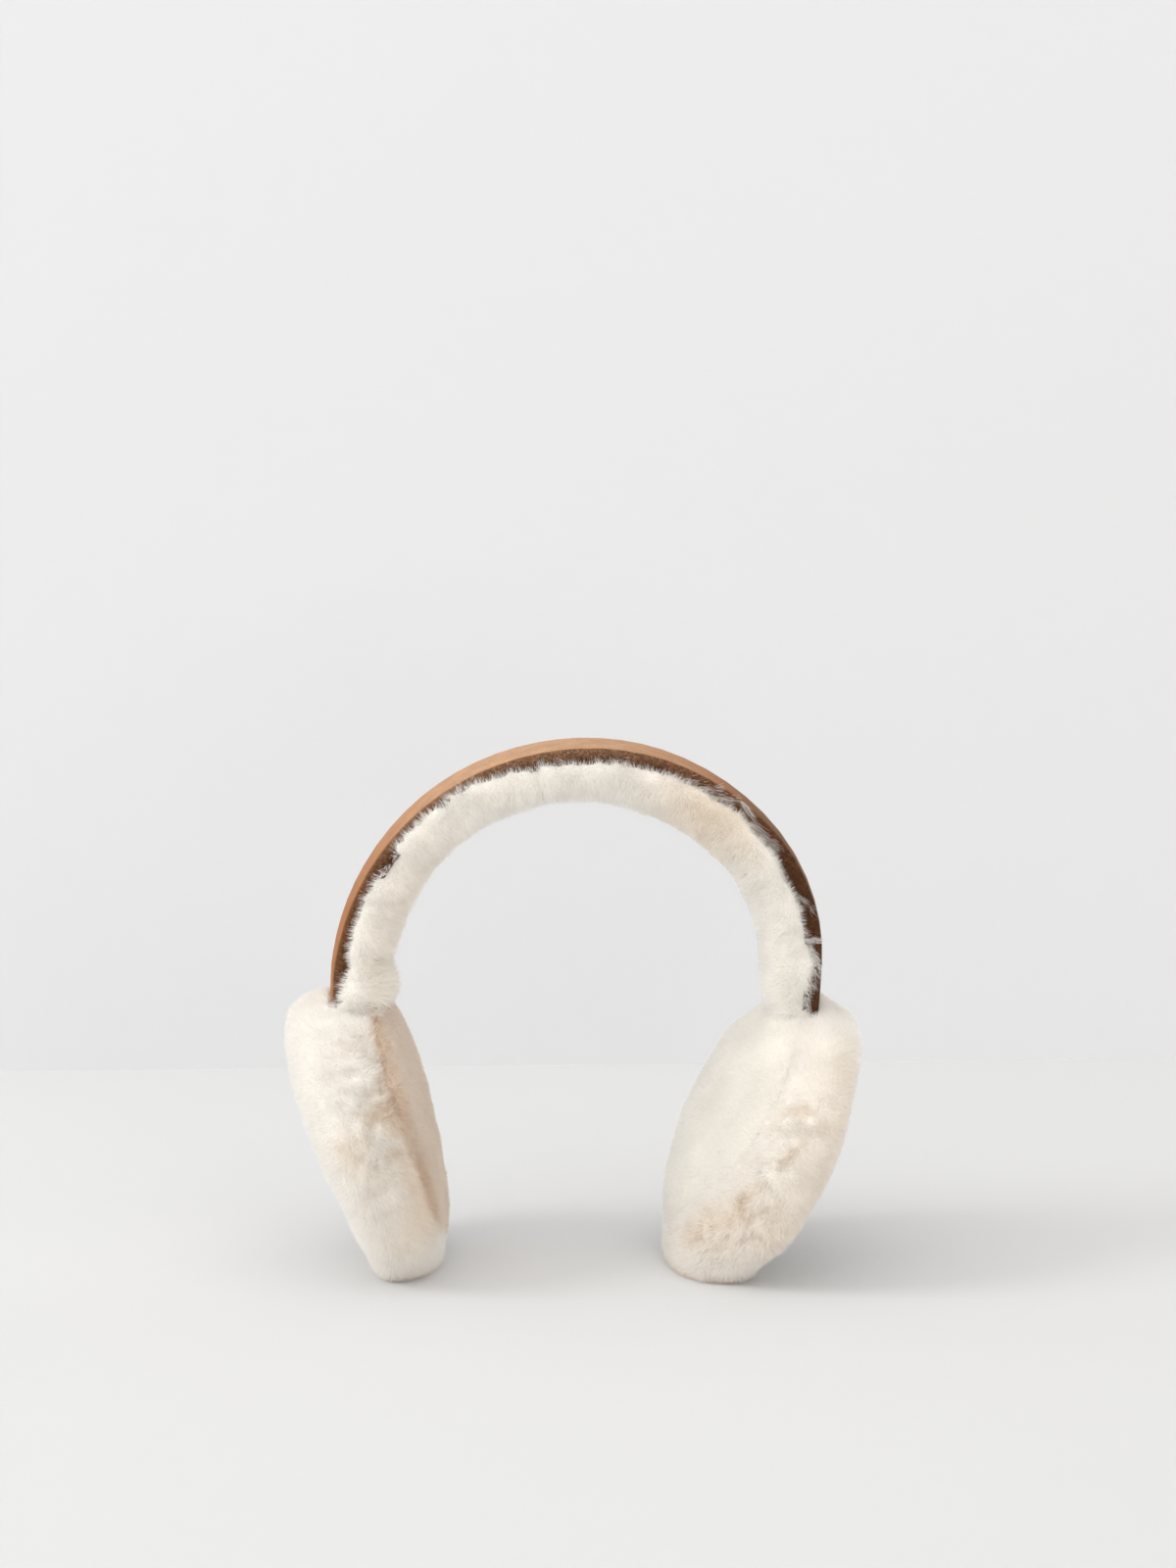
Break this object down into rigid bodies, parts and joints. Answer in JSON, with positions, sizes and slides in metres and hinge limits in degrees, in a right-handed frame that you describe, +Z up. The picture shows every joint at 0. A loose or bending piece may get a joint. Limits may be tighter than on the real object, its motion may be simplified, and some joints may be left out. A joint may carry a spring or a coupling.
{
  "type": "fur earmuffs",
  "caption": "Fur earmuffs: round shearling ear pads on a springy arched headband with a tan suede cover and a thick cream fur lining.",
  "frame": {"origin": "centre of the bounding box at floor height, where the pads stand", "axes": "+X from the left pad to the right pad as seen from the front, +Y from the front to the back, +Z up to the top of the headband"},
  "size_m": [0.1888, 0.1032, 0.1751],
  "materials": {
    "suede_tan": "napped suede, tan on its outer face and dark brown on its fuzzy edges",
    "fur_cream": "dense cream shearling pile",
    "fur_ear": "short smooth cream shearling pile of the ear sides"
  },
  "bodies": {
    "root": {"suede_cover": "suede_tan", "fur_lining": "fur_cream", "left_pad_outer": "fur_cream", "left_pad_inner": "fur_ear", "right_pad_outer": "fur_cream", "right_pad_inner": "fur_ear"}
  },
  "joints": []
}
